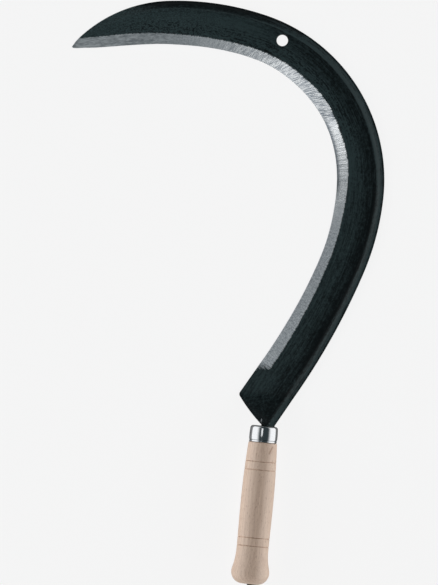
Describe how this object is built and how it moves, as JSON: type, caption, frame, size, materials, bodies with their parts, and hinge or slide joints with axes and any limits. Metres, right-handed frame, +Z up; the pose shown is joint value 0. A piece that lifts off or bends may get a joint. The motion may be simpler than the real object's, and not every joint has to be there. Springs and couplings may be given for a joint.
{
  "type": "brush sickle",
  "caption": "Hand sickle with a long crescent blade, a ribbed black spine, a bright ground inner edge, a cranked neck, a plated ferrule and a turned wooden handle.",
  "frame": {"origin": "on the surface the sickle lies on, under the middle of its outline", "axes": "+Z up, away from that surface; +Y along the handle, from the butt to the blade; +X towards the spine side of the blade"},
  "size_m": [0.315, 0.5616, 0.037],
  "materials": {
    "blade_steel": "black lacquer over hammered steel, with the cutting edge ground bright",
    "ferrule_plating": "polished nickel plating",
    "handle_wood": "turned and sanded beech, unvarnished"
  },
  "bodies": {
    "root": {"blade": "blade_steel", "ferrule": "ferrule_plating", "handle": "handle_wood"}
  },
  "joints": []
}
